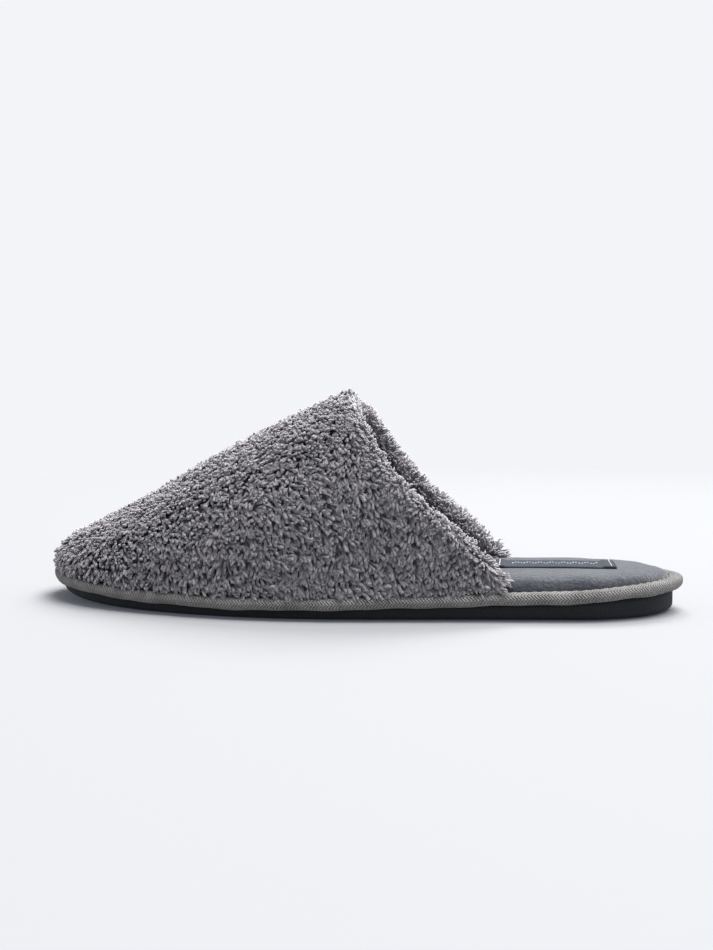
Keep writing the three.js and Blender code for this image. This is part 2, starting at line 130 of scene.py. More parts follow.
COLLAR = [
    (0.496, 1.3), (0.5, 1.05), (0.508, 0.985), (0.524, 0.905), (0.549, 0.775), (0.577, 0.65),
    (0.61, 0.545), (0.643, 0.455), (0.684, 0.345), (0.715, 0.25), (0.735, 0.17), (0.745, 0.08),
    (0.748, -0.1),
]
CUSHION = [
    (0, 0.76), (0.1, 0.69), (0.3, 0.68), (0.45, 0.735), (0.55, 0.81), (0.65, 0.91),
    (0.74, 0.975), (0.85, 1), (1, 1),
]


# Outline and heights


def eased(s, start, leave, end, reach):
    """A place on a smooth curve between two places, with the slopes there."""
    return (
        (2 * s**3 - 3 * s**2 + 1) * start
        + (s**3 - 2 * s**2 + s) * leave
        + (3 * s**2 - 2 * s**3) * end
        + (s**3 - s**2) * reach
    )


def walked_along(line):
    """How far each point of a line lies along it."""
    return np.concatenate([[0], np.cumsum(np.linalg.norm(np.diff(line, axis=0), axis=1))])


def at_walk(line, walked, at):
    """The places at some lengths along a line."""
    return np.stack([np.interp(at, walked, line[:, axis]) for axis in range(3)], 1)


def dense(rows):
    """A table read as a smooth curve, as two arrays for np.interp."""
    at = np.array([row[0] for row in rows], float)
    up = np.array([row[1] for row in rows], float)
    slope = np.gradient(up, at)
    slope[1:-1] = (up[2:] - up[:-2]) / (at[2:] - at[:-2])
    shares = np.linspace(at[0], at[-1], 600)
    i = np.clip(np.searchsorted(at, shares, "right") - 1, 0, len(at) - 2)
    span = at[i + 1] - at[i]
    s = (shares - at[i]) / span
    return shares, eased(s, up[i], slope[i] * span, up[i + 1], slope[i + 1] * span)


RIM_CURVE = dense(RIM)
TREAD_CURVE = dense(TREAD)
ARCH_CURVE = dense(ARCH)
CREST_CURVE = dense(CREST)
CUSHION_CURVE = dense(CUSHION)


def read(curve, x):
    """The share that a curve gives at one or more places along the part."""
    return np.interp(np.asarray(x) / LENGTH + 0.5, *curve)


def rim_at(x):
    return RIM_HEIGHT * read(RIM_CURVE, x)


def tread_at(x):
    return TOE_SPRING * np.maximum(read(TREAD_CURVE, x), 0)


def arch_at(x):
    return ARCH_LIFT * np.maximum(read(ARCH_CURVE, x), 0)


def crest_at(x):
    return PEAK_HEIGHT * CREST_PUFF * read(CREST_CURVE, x)


def cushion_at(x):
    return CUSHION_HEIGHT * read(CUSHION_CURVE, x)


def pile_base_at(x):
    return rim_at(x) + BINDING_HEIGHT + GAP


def collar_x(z):
    """Where the collar edge lies at a height."""
    up = np.array([row[1] for row in reversed(COLLAR)])
    along = np.array([row[0] for row in reversed(COLLAR)])
    return LENGTH * (np.interp(np.asarray(z) / PEAK_HEIGHT, up, along) - 0.5)


def outline_loop(steps):
    """The outer edge of the binding from above: toe, outer side, heel, inner side."""
    outer = [(LENGTH * (a - 0.5), -BALL_WIDTH * o) for a, o, _ in OUTLINE]
    inner = [(LENGTH * (a - 0.5), BALL_WIDTH * i) for a, _, i in OUTLINE[-2:0:-1]]
    corners = np.array(outer + inner)
    count = len(corners)
    points = []
    for k in range(count):
        p0, p1, p2, p3 = (corners[(k + d) % count] for d in (-1, 0, 1, 2))
        d0, d1, d2 = (math.sqrt(math.dist(a, b)) for a, b in ((p0, p1), (p1, p2), (p2, p3)))
        leave = ((p1 - p0) / d0 - (p2 - p0) / (d0 + d1) + (p2 - p1) / d1) * d1
        reach = ((p2 - p1) / d1 - (p3 - p1) / (d1 + d2) + (p3 - p2) / d2) * d1
        for s in np.arange(steps) / steps:
            points.append(eased(s, p1, leave, p2, reach))
    return np.array(points)


LOOP = outline_loop(10)
AROUND = len(LOOP)
INNER_SIDE = np.arange(AROUND) > AROUND / 2
ARC = walked_along(LOOP)


def inset(distance):
    """The outline moved inwards, by one distance or one for each point."""
    ahead = np.roll(LOOP, -1, 0)
    behind = np.roll(LOOP, 1, 0)
    way = ahead - behind
    inwards = np.stack([-way[:, 1], way[:, 0]], 1)
    inwards /= np.linalg.norm(inwards, axis=1)[:, None]
    return LOOP + inwards * np.broadcast_to(distance, AROUND)[:, None]


def ring(distance, height):
    """An inset outline lifted to a height that depends on x."""
    flat = inset(distance)
    return np.column_stack([flat, height(flat[:, 0])])


# Meshes


def new_piece(name, points, faces, finishes, uv=None, tone=None):
    """An object from points in millimetres. uv has one pair for each corner of each face."""
    mesh = bpy.data.meshes.new(name)
    mesh.from_pydata((np.asarray(points) * MM).tolist(), [], faces)
    for finish in finishes:
        mesh.materials.append(finish)
    if uv is not None:
        layer = mesh.uv_layers.new(name="cloth")
        layer.data.foreach_set("uv", np.asarray(uv, np.float32).ravel())
    if tone is not None:
        attribute = mesh.attributes.new("tone", "FLOAT", "POINT")
        attribute.data.foreach_set("value", np.asarray(tone, np.float32))
    mesh.polygons.foreach_set("use_smooth", [True] * len(mesh.polygons))
    mesh.update()
    piece = bpy.data.objects.new(name, mesh)
    bpy.context.scene.collection.objects.link(piece)
    return piece


def skin(name, rings, finishes, joined=False):
    """A skin over a stack of rings, with the cloth's own lengths as its UV, in metres.

    It is closed by a cap at each end, or by joining the last ring to the first.
    """
    count = len(rings[0])
    points = np.concatenate(rings)
    steps = np.linalg.norm(np.diff(np.array(rings), axis=0), axis=2).mean(1)
    if joined:
        steps = np.append(steps, np.linalg.norm(rings[-1] - rings[0], axis=1).mean())
    across = np.concatenate([[0], np.cumsum(steps)]) * MM
    closing = np.linalg.norm(rings[0][0] - rings[0][-1])
    lengths = np.linalg.norm(np.diff(rings[0], axis=0), axis=1)
    along = np.concatenate([[0], np.cumsum(lengths), [lengths.sum() + closing]]) * MM
    faces = []
    uv = []
    for k in range(len(rings) if joined else len(rings) - 1):
        here = k * count
        there = (k + 1) % len(rings) * count
        for i in range(count):
            j = (i + 1) % count
            faces.append([here + i, here + j, there + j, there + i])
            uv.extend([
                (along[i], across[k]),
                (along[i + 1], across[k]),
                (along[i + 1], across[k + 1]),
                (along[i], across[k + 1]),
            ])
    if not joined:
        for start, way in ((0, -1), ((len(rings) - 1) * count, 1)):
            for i in range(count // 2):
                quad = [i, i + 1, count - i - 1, (count - i) % count]
                face = [start + corner for corner in dict.fromkeys(quad)][::way]
                faces.append(face)
                uv.extend(points[corner][:2] * MM for corner in face)
    return new_piece(name, points, faces, finishes, uv)


def only(piece):
    """Selects this piece and nothing else."""
    bpy.ops.object.select_all(action="DESELECT")
    piece.select_set(True)
    bpy.context.view_layer.objects.active = piece


def face_outwards(piece, merge=None):
    """Turns the faces of a closed piece outwards, first merging points nearer than merge."""
    only(piece)
    bpy.ops.object.mode_set(mode="EDIT")
    bpy.ops.mesh.select_all(action="SELECT")
    if merge:
        bpy.ops.mesh.remove_doubles(threshold=merge)
    bpy.ops.mesh.normals_make_consistent(inside=False)
    bpy.ops.object.mode_set(mode="OBJECT")


# Finishes: a Term is a value in a material's nodes, and a Finish is the material


class Term:
    """A number in a finish. Sums, products and powers of it add Math nodes."""

    def __init__(self, finish, socket):
        self.finish = finish
        self.socket = socket

    def combine(self, operation, *values, clamp=False):
        settings = {"operation": operation, "use_clamp": clamp}
        return self.finish.add("ShaderNodeMath", settings, values)

    def __add__(self, other):
        return self.combine("ADD", self, other)

    def __sub__(self, other):
        return self.combine("SUBTRACT", self, other)

    def __mul__(self, other):
        return self.combine("MULTIPLY", self, other)

    def __truediv__(self, other):
        return self.combine("DIVIDE", self, other)

    def __pow__(self, other):
        return self.combine("POWER", self, other)

    def __rsub__(self, other):
        return self.combine("SUBTRACT", other, self)

    def held(self):
        """Kept between 0 and 1."""
        return self.combine("ADD", self, 0, clamp=True)

    def zigzag(self, width):
        """Up and down between 0 and 1 over twice the width."""
        return self.combine("PINGPONG", self, width) / width


class Finish:
    """A material and the nodes that vary its surface."""

    def __init__(self, name, roughness, **steady):
        self.material = bpy.data.materials.new(name)
        self.material.use_nodes = True
        self.nodes = self.material.node_tree.nodes
        self.links = self.material.node_tree.links
        self.shader = self.nodes["Principled BSDF"]
        self.shader.inputs["Roughness"].default_value = roughness
        for socket, value in steady.items():
            self.shader.inputs[socket.replace("_", " ")].default_value = value

    def add(self, kind, settings, values, output=0):
        """A node with its settings, then the values or links of its sockets."""
        node = self.nodes.new(kind)
        for name, value in settings.items():
            setattr(node, name, value)
        pairs = values.items() if isinstance(values, dict) else enumerate(values)
        for key, value in pairs:
            if isinstance(value, Term):
                self.links.new(value.socket, node.inputs[key])
            else:
                node.inputs[key].default_value = value
        return Term(self, node.outputs[output])

    def place(self):
        """Places in metres in the piece's own frame."""
        return self.add("ShaderNodeTexCoord", {}, {}, "Object")

    def cloth(self):
        """Metres along and across the cloth. On a strand, its side and a share of its length."""
        return self.add("ShaderNodeUVMap", {"uv_map": "cloth"}, {})

    def tone(self):
        """How much lighter or darker a strand is than the others: partly at random, partly
        painted highlight and painted shade.
        """
        return self.add("ShaderNodeAttribute", {"attribute_name": "tone"}, {}, "Fac")

    def parts(self, vector):
        split = self.nodes.new("ShaderNodeSeparateXYZ")
        self.links.new(vector.socket, split.inputs[0])
        return [Term(self, output) for output in split.outputs]

    def stretched(self, vector, scale):
        return self.add("ShaderNodeMapping", {}, {"Vector": vector, "Scale": scale})

    def noise(self, vector, scale, detail=2.0, roughness=0.5):
        values = {"Vector": vector, "Scale": scale, "Detail": detail, "Roughness": roughness}
        return self.add("ShaderNodeTexNoise", {}, values)

    def cells(self, vector, scale):
        return self.add("ShaderNodeTexVoronoi", {}, {"Vector": vector, "Scale": scale})

    def mixed(self, first, second, share):
        """One colour turning into another. Sockets 6, 7 and output 2 are the colour ones."""
        values = {"Factor": share, 6: first, 7: second}
        return self.add("ShaderNodeMix", {"data_type": "RGBA"}, values, 2)

    def colour(self, value):
        self.links.new(value.socket, self.shader.inputs["Base Color"])

    def relief(self, height, depth):
        """Bumps of a depth in metres."""
        values = {"Height": height, "Strength": 1.0, "Distance": depth}
        normal = self.add("ShaderNodeBump", {}, values)
        self.links.new(normal.socket, self.shader.inputs["Normal"])


def tint(red, green, blue):
    """A colour as seen, from 0 to 255, in the renderer's scale."""
    return tuple((v / 255) ** 2.2 for v in (red, green, blue)) + (1.0,)


def pile_finish():
    finish = Finish(
        "pile", 0.92, Sheen_Weight=0.3, Sheen_Roughness=0.6, Subsurface_Weight=0.6,
        Subsurface_Radius=(1, 0.95, 0.97), Subsurface_Scale=0.0018, Specular_IOR_Level=0.15,
    )
    cloth = finish.cloth()
    along = finish.parts(cloth)[1]
    streak = finish.noise(finish.stretched(cloth, (9, 2.2, 1)), 3.0, detail=3.0, roughness=0.7)
    fuzz = finish.noise(finish.place(), 1300)
    # Strands darken towards their roots: painted shade for the deep gaps between the locks
    shade = (along**1.5 * 0.55 + streak * 0.8 + fuzz * 0.5 - 0.5 + finish.tone()).held()
    finish.colour(finish.mixed(tint(84, 81, 86), tint(176, 172, 178), shade))
    finish.relief(streak + fuzz, 0.0005)
    return finish.material


# The backing under the pile and the collar's roll: a darker grey that is painted shade for the
# deep gaps between the locks
def shaded_bed_finish():
    finish = Finish("pile_bed_shade", 0.95)
    place = finish.place()
    fleece = finish.noise(place, 420, detail=4.0, roughness=0.6)
    patches = finish.noise(place, 60)
    shade = (fleece * 0.8 + patches * 0.5 - 0.25).held()
    finish.colour(finish.mixed(tint(86, 83, 88), tint(132, 128, 134), shade))
    finish.relief(fleece + patches, 0.0016)
    return finish.material


def lining_finish():
    finish = Finish("lining", 0.92, Sheen_Weight=0.3)
    place = finish.place()
    nap = finish.noise(place, 900, detail=3.0, roughness=0.6)
    patches = finish.noise(place, 45)
    shade = (nap * 0.6 + patches * 0.5 - 0.1).held()
    finish.colour(finish.mixed(tint(80, 80, 85), tint(138, 138, 144), shade))
    finish.relief(nap, 0.0006)
    return finish.material


def tape_finish():
    finish = Finish("tape", 0.88, Sheen_Weight=0.1)
    along, across, _ = finish.parts(finish.cloth())
    place = finish.place()
    worn = finish.noise(place, 90, detail=3.0)
    ribs = (along + across.zigzag(0.0016) * 0.0016 + worn * 0.0012).zigzag(0.00068)
    fine = finish.noise(place, 1500)
    shade = (ribs * 0.6 + worn * 0.6 + fine * 0.5 - 0.5).held()
    finish.colour(finish.mixed(tint(70, 68, 67), tint(196, 192, 191), shade))
    finish.relief(ribs + fine * 0.5, 0.0007)
    return finish.material


def sole_wall_finish():
    finish = Finish("sole_wall", 0.78)
    along, across, _ = finish.parts(finish.cloth())
    twill = (along - across + 1).zigzag(0.0005)
    place = finish.place()
    fine = finish.noise(place, 1400, detail=3.0)
    broad = finish.noise(place, 50)
    shade = (twill * 0.2 + fine * 0.5 + broad * 0.4 - 0.25).held()
    finish.colour(finish.mixed(tint(15, 17, 20), tint(47, 50, 57), shade))
    finish.relief(twill * 0.5 + fine * 0.5, 0.0003)
    return finish.material


def sole_under_finish():
    finish = Finish("sole_under", 0.8)
    place = finish.place()
    dots = finish.cells(place, 320)
    fine = finish.noise(place, 900, detail=3.0)
    shade = (dots * 0.7 + fine * 0.4).held()
    finish.colour(finish.mixed(tint(30, 31, 34), tint(54, 56, 61), shade))
    finish.relief(1 - dots + fine * 0.3, 0.0005)
    return finish.material


def plush_finish():
    finish = Finish("footbed_plush", 0.92, Sheen_Weight=0.45, Sheen_Roughness=0.4)
    place = finish.place()
    nap = finish.noise(place, 620, detail=3.0, roughness=0.7)
    brushed = finish.noise(finish.stretched(place, (150, 330, 150)), 1.0, detail=3.0)
    broad = finish.noise(place, 30)
    shade = (nap * 1.2 + brushed * 0.3 + broad * 0.3 - 0.4).held()
    finish.colour(finish.mixed(tint(37, 39, 44), tint(88, 91, 99), shade))
    finish.relief(nap + brushed * 0.3, 0.001)
    return finish.material


def label_finish():
    finish = Finish("label_weave", 0.8, Specular_IOR_Level=0.25)
    along, across, _ = finish.parts(finish.cloth())
    warp = across.zigzag(0.00022)
    weft = along.zigzag(0.0003)
    fine = finish.noise(finish.place(), 1600)
    shade = (warp * 0.35 + weft * 0.25 + fine * 0.4 - 0.1).held()
    finish.colour(finish.mixed(tint(30, 34, 41), tint(62, 68, 79), shade))
    finish.relief(warp * 0.6 + weft * 0.5, 0.00012)
    return finish.material


def thread_finish(name, dark, light):
    finish = Finish(name, 0.7, Sheen_Weight=0.2)
    fine = finish.noise(finish.place(), 2200)
    finish.colour(finish.mixed(dark, light, fine.held()))
    finish.relief(fine, 0.0002)
    return finish.material


PILE = pile_finish()
SHADED_BED = shaded_bed_finish()
LINING = lining_finish()
TAPE = tape_finish()
SOLE_WALL = sole_wall_finish()
SOLE_UNDER = sole_under_finish()
PLUSH = plush_finish()
LABEL = label_finish()
LABEL_THREAD = thread_finish("label_thread", tint(150, 156, 165), tint(205, 210, 216))
TAPE_THREAD = thread_finish("tape_thread", tint(80, 78, 76), tint(140, 137, 134))


# Sole: rounded lower edge, woven wall, lifted inner edge at the arch
def make_sole():
    rings = []
    for inward, up, arch in (
        (20, 0, 0), (9, 0, 0.35), (4.5, 0, 0.7), (2.6, 0.06, 0.85), (1.3, 0.24, 0.93),
        (0.5, 0.5, 0.97), (0.1, 0.8, 1), (0, 1, 1),
    ):
        lower = ring(BINDING_OVERHANG + inward, tread_at)
        lower[:, 2] += SOLE_EDGE * up + arch_at(lower[:, 0]) * arch * INNER_SIDE
        rings.append(lower)
    foot = rings[-1]
    top = ring(BINDING_OVERHANG, lambda x: rim_at(x) - GAP)
    for share in (0.33, 0.66, 1):
        rings.append(foot * (1 - share) + top * share)
    sole = skin("sole", rings, [SOLE_WALL, SOLE_UNDER])
    for face in sole.data.polygons:
        if face.normal.z < -0.8:
            face.material_index = 1
    return sole


# Binding: a rolled tape with a slightly uneven lower edge
def make_binding():
    rings = []
    sides = 20
    squareness = 0.72
    wobble = 0.18 * np.sin(ARC / 7.3) + 0.12 * np.sin(ARC / 3.1 + 1)
    for turn in np.arange(sides) / sides * 2 * math.pi:
        inward = 0.5 - 0.5 * np.sign(math.cos(turn)) * abs(math.cos(turn)) ** squareness
        up = 0.5 + 0.5 * np.sign(math.sin(turn)) * abs(math.sin(turn)) ** squareness
        loop = ring(inward * BINDING_WIDTH + wobble * 0.5, rim_at)
        loop[:, 2] += up * BINDING_HEIGHT + wobble * (1 - up)
        rings.append(loop)
    return skin("binding", rings, [TAPE], joined=True)


# Footbed: crowned, pulled down at its edge in soft puckers
def make_footbed():
    share = np.clip((LOOP[:, 0] / LENGTH + 0.5 - WIDENING_FROM) / WIDENING_OVER, 0, 1)
    edge = BINDING_WIDTH + GAP + (BACKING + GAP) * (1 - share * share * (3 - 2 * share))
    pucker = np.sin(ARC / 5.2 + 1.3 * np.sin(ARC / 23)) * 0.5 + np.sin(ARC / 2.9 + 2) * 0.22
    pucker_height = 0.55
    rings = []
    for inward, up, soft in (
        (0.5, 0, 0), (0, 0.2, 0), (-0.3, 0.45, 0.2), (0, 0.62, 0.5), (0.7, 0.75, 0.8),
        (1.8, 0.85, 1), (3.4, 0.92, 0.8), (5.8, 0.965, 0.5), (9, 0.99, 0.25), (13, 1, 0.1),
    ):
        flat = inset(edge + inward)
        floor = rim_at(flat[:, 0])
        height = floor + (cushion_at(flat[:, 0]) - floor) * up + pucker * soft * pucker_height
        rings.append(np.column_stack([flat, height]))
    footbed = skin("footbed", rings, [PLUSH])
    only(footbed)
    bpy.ops.object.mode_set(mode="EDIT")
    bpy.ops.mesh.select_all(action="SELECT")
    bpy.ops.mesh.quads_convert_to_tris()
    bpy.ops.object.mode_set(mode="OBJECT")
    return footbed


def arch_grid(distance, lower, steps):
    """Points over the vamp, station by station from the toe, outer rim to inner rim.

    They lie a distance inside the outline, and lower than the crest of the pile.
    """
    loop = inset(distance)
    rear = int(np.argmax(LOOP[:, 0] / LENGTH + 0.5 > REAR_SHARE))
    left = loop[: rear + 1]
    right = loop[(AROUND - np.arange(rear + 1)) % AROUND]
    angle = np.pi * np.arange(steps + 1) / steps
    reach = np.abs(np.cos(angle)) ** (2 / ROUNDNESS)
    across = np.where(
        angle < np.pi / 2, RIDGE_SHARE * (1 - reach), RIDGE_SHARE + (1 - RIDGE_SHARE) * reach
    )
    flat = left[:, None] + (right - left)[:, None] * across[None, :, None]
    base = pile_base_at(flat[..., 0])
    rise = np.maximum(crest_at(flat[..., 0]) - lower - base, 0.5)
    up = base + rise * np.abs(np.sin(angle))[None] ** (2 / ROUNDNESS)
    return np.dstack([flat, up])


def form(name, grid, drop, finish):
    """A closed form from a grid of sections, which go straight down by a drop at their ends."""
    count = grid.shape[1] + 2
    low = grid[:, [0, -1]].copy()
    low[..., 2] -= drop
    rings = np.concatenate([grid, low[:, 1:], low[:, :1]], axis=1)
    points = rings.reshape(-1, 3)
    faces = []
    for k in range(len(rings) - 1):
        for i in range(count):
            j = (i + 1) % count
            here = k * count
            there = here + count
            faces.append([here + i, there + i, there + j, here + j])
    faces.append(list(range(count)))
    faces.append([(len(rings) - 1) * count + i for i in reversed(range(count))])
    piece = new_piece(name, points, faces, [finish])
    face_outwards(piece, merge=0.00001)
    return piece


def cut(piece, tool):
    """Cuts one piece with another, which goes away."""
    only(piece)
    modifier = piece.modifiers.new("cut", "BOOLEAN")
    modifier.operation = "DIFFERENCE"
    modifier.object = tool
    bpy.ops.object.modifier_apply(modifier="cut")
    bpy.data.objects.remove(tool)


# Backing of the vamp: a hollow shell under the pile, open at the collar and underneath
def make_backing():
    outside = arch_grid(PILE_INSET + BACKING_DEPTH, BACKING_DEPTH, 40)
    inside = arch_grid(HOLLOW_INSET, WALL, 40)
    shell = form("vamp_backing", outside[::2], 0, SHADED_BED)
    cut(shell, form("room", inside[::2], 30, LINING))
    setback = ROLL_SETBACK + KNIFE_SETBACK
    edge = [(LENGTH * (a - 0.5) - setback, PEAK_HEIGHT * up) for a, up in COLLAR]
    edge += [(LENGTH, edge[-1][1]), (LENGTH, edge[0][1])]
    sides = [[(x, y, z) for x, z in edge] for y in (-BALL_WIDTH, BALL_WIDTH)]
    count = len(edge)
    faces = [list(range(count)), [count + i for i in reversed(range(count))]]
    faces += [[i, count + i, count + (i + 1) % count, (i + 1) % count] for i in range(count)]
    knife = new_piece("knife", sides[0] + sides[1], faces, [SHADED_BED])
    face_outwards(knife)
    cut(shell, knife)
    bpy.ops.object.shade_smooth_by_angle(angle=math.radians(40))
    return shell


MIDDLE = inset((PILE_INSET + HOLLOW_INSET) / 2)


def wall_place(x, z, inner):
    """The middle of the wall at one x and height on one side."""
    half = AROUND // 2
    left_y = np.interp(x, MIDDLE[: half + 1, 0], MIDDLE[: half + 1, 1])
    back = MIDDLE[(AROUND - np.arange(half + 1)) % AROUND]
    right_y = np.interp(x, back[:, 0], back[:, 1])
    ridge = left_y + (right_y - left_y) * RIDGE_SHARE
    base = pile_base_at(x)
    level = np.clip((z - base) / (crest_at(x) - WALL / 2 - base), 0, 1)
    reach = (1 - level**ROUNDNESS) ** (1 / ROUNDNESS)
    return np.array([x, ridge + ((right_y if inner else left_y) - ridge) * reach, z])


def collar_line(count):
    """Even points along the collar: up the outer side, over the throat, down the inner."""
    rows = [row for row in COLLAR if ROLL_LOW <= row[1] < ROLL_HIGH]
    places = [(LENGTH * (a - 0.5) - ROLL_SETBACK, PEAK_HEIGHT * up) for a, up in rows]
    outer = [wall_place(x, z, False) for x, z in reversed(places)]
    inner = [wall_place(x, z, True) for x, z in places]
    x = LENGTH * (THROAT_SHARE - 0.5) - ROLL_SETBACK
    throat = wall_place(x, 2 * PEAK_HEIGHT, False)
    throat[2] = crest_at(x) - WALL / 2
    corners = np.array(outer + [throat] + inner)
    ends = [2 * corners[0] - corners[1], *corners, 2 * corners[-1] - corners[-2]]
    fine = []
    for p0, p1, p2, p3 in zip(ends, ends[1:], ends[2:], ends[3:]):
        second = 2 * p0 - 5 * p1 + 4 * p2 - p3
        third = 3 * p1 - p0 - 3 * p2 + p3
        for s in np.arange(12) / 12:
            fine.append(0.5 * (2 * p1 + (p2 - p0) * s + second * s**2 + third * s**3))
    fine = np.array(fine + [corners[-1]])
    walked = walked_along(fine)
    return at_walk(fine, walked, np.linspace(0, walked[-1], count))


def unit(vectors):
    return vectors / np.maximum(np.linalg.norm(vectors, axis=-1, keepdims=True), 1e-9)


def collar_frames(count):
    """Centre, way along, way to the heel and way out of the roll at even points."""
    line = collar_line(count)
    way = unit(np.gradient(line, axis=0))
    heelwards = np.tile([1.0, 0, 0.55], (count, 1))
    heelwards = unit(heelwards - way * (heelwards * way).sum(1)[:, None])
    outwards = unit(np.cross(way, heelwards))
    flip = np.where(outwards[:, 2:3] + outwards[:, 1:2] * np.sign(line[:, 1:2]) < 0, -1, 1)
    return line, way, heelwards, outwards * flip


# Roll of the collar under its own pile, thinner at both ends
def make_roll():
    stations = 70
    line, _, heelwards, outwards = collar_frames(stations)
    turns = np.arange(12)[:, None] / 12 * 2 * math.pi
    rings = []
    for centre, back, out, end in zip(line, heelwards, outwards, np.linspace(-1, 1, stations)):
        radius = (ROLL_RADIUS - ROLL_DEPTH) * (1 - 0.35 * abs(end) ** 8)
        rings.append(centre + radius * (np.cos(turns) * back + np.sin(turns) * out))
    roll = skin("collar_roll", rings, [SHADED_BED])
    face_outwards(roll)
    return roll


# Pile


def soft_noise(points, size, seed):
    """Smooth scatter between -1 and 1 over places, from a few crossed waves."""
    maker = np.random.default_rng(seed)
    total = np.zeros(len(points))
    pitch = 2 * math.pi / size
    for _ in range(7):
        way = unit(maker.normal(size=3))
        total += np.sin(points @ way * pitch * maker.uniform(0.6, 1.5) + maker.uniform(0, 6.3))
    return total / 2.6


def spread(points, apart):
    """Indices of points that keep a distance from each other, taken in order."""
    cells = {}
    kept = []
    keys = np.floor(points / apart).astype(int)
    around = [(a, b, c) for a in (-1, 0, 1) for b in (-1, 0, 1) for c in (-1, 0, 1)]
    limit = apart * apart
    spots = points.tolist()
    for i, (key, spot) in enumerate(zip(keys.tolist(), spots)):
        near = False
        for a, b, c in around:
            for other in cells.get((key[0] + a, key[1] + b, key[2] + c), ()):
                gap = (spot[0] - other[0]) ** 2 + (spot[1] - other[1]) ** 2
                if gap + (spot[2] - other[2]) ** 2 < limit:
                    near = True
                    break
            if near:
                break
        if not near:
            cells.setdefault(tuple(key), []).append(spot)
            kept.append(i)
    return np.array(kept)


def scatter_on(grid, count):
    """Random places on a grid of points, even by area, with the way out at each."""
    down = np.gradient(grid, axis=0)
    across = np.gradient(grid, axis=1)
    outs = unit(np.cross(down, across))
    a, b, c, d = grid[:-1, :-1], grid[1:, :-1], grid[1:, 1:], grid[:-1, 1:]
    area = np.linalg.norm(np.cross(c - a, d - b), axis=2).ravel()
    chosen = random.choice(len(area), count, p=area / area.sum())
    row, column = np.unravel_index(chosen, (grid.shape[0] - 1, grid.shape[1] - 1))
    s = random.random(count)[:, None]
    t = random.random(count)[:, None]

    def blend(values):
        return (
            values[row, column] * (1 - s) * (1 - t) + values[row + 1, column] * s * (1 - t)
            + values[row + 1, column + 1] * s * t + values[row, column + 1] * (1 - s) * t
        )

    return blend(grid), unit(blend(outs))


# Place along a strand and width there, as shares: on the vamp, on the collar, of a loose fibre.
# Each strand ends in one point at its tip.
BLUNT = [(0, 0.8), (0.4, 1), (0.8, 0.84)]
POINTED = [(0, 0.8), (0.4, 1), (0.8, 0.7)]
FIBRE = [(0, 1), (0.5, 0.8)]


def strands(name, shape, sides, fleece, curl):
    """Strands as one mesh: rising from each root, then lying along the nap.

    The fleece holds roots, ways out, ways of lying, lengths, widths, lifts and tones.
    """
    roots, outs, flows, length, width, lift, tone = fleece
    count = len(roots)
    side = unit(np.cross(outs, flows))
    sway = random.normal(0, 0.12, count)[:, None]
    bend = random.uniform(-curl, curl, count)[:, None]
    turns = np.arange(sides) / sides * 2 * math.pi
    each = len(shape) * sides + 1
    points = np.zeros((count, each, 3))
    for k, (along, wide) in enumerate(shape + [(1, 0)]):
        rise = lift[:, None] * (1.75 * along - 0.65 * along**2 - 0.2)
        swing = side * (sway * along + bend * along * math.sin(2.6 * along)) * length[:, None]
        centre = roots + flows * (length[:, None] * along) + outs * rise + swing
        if wide == 0:
            points[:, -1] = centre
            continue
        half = width[:, None] * wide / 2
        for i, turn in enumerate(turns):
            ray = side * math.cos(turn) + outs * math.sin(turn)
            points[:, k * sides + i] = centre + ray * half
    walls = []
    wall_uv = []
    for k in range(len(shape) - 1):
        low, high = shape[k][0], shape[k + 1][0]
        for i in range(sides):
            j = (i + 1) % sides
            here = k * sides
            there = here + sides
            walls.append([here + i, here + j, there + j, there + i])
            wall_uv.append([(i, low), (i + 1, low), (i + 1, high), (i, high)])
    last = (len(shape) - 1) * sides
    caps = [[last + i, last + (i + 1) % sides, each - 1] for i in range(sides)]
    low = shape[-1][0]
    cap_uv = [[(i, low), (i + 1, low), (i + 0.5, 1)] for i in range(sides)]
    for i in range(1, sides - 1):
        caps.append([0, i + 1, i])
        cap_uv.append([(0, 0), (i + 1, 0), (i, 0)])
    first = (np.arange(count) * each)[:, None, None]
    quads = (np.array(walls)[None] + first).reshape(-1, 4)
    triangles = (np.array(caps)[None] + first).reshape(-1, 3)
    shift = np.zeros((count, 1, 2))
    shift[:, 0, 0] = random.integers(0, 200, count)
    uv = [
        (np.array(corners, float).reshape(1, -1, 2) / (sides, 1) + shift).reshape(-1, 2)
        for corners in (wall_uv, cap_uv)
    ]
    faces = quads.tolist() + triangles.tolist()
    tones = np.repeat(tone, each)
    return new_piece(name, points.reshape(-1, 3), faces, [PILE], np.concatenate(uv), tones)


def split(fleece, number, splay):
    """Each lock as a few strands side by side that part a little at their tips."""
    repeated = (np.repeat(values, number, axis=0) for values in fleece)
    roots, outs, flows, length, width, lift, tone = repeated
    count = len(roots)
    side = unit(np.cross(outs, flows))
    aside = random.uniform(-1, 1, count)
    above = random.uniform(-1, 1, count)
    roots = roots + side * (aside * width * 0.34)[:, None]
    roots = roots + outs * (above * width * 0.26)[:, None]
    flows = unit(flows + side * (aside * splay)[:, None])
    length = length * random.uniform(0.82, 1.1, count)
    tone = tone + random.normal(0, 0.03, count)
    lift = lift * random.uniform(0.85, 1.15, count)
    return roots, outs, flows, length, width * 0.6, lift, tone


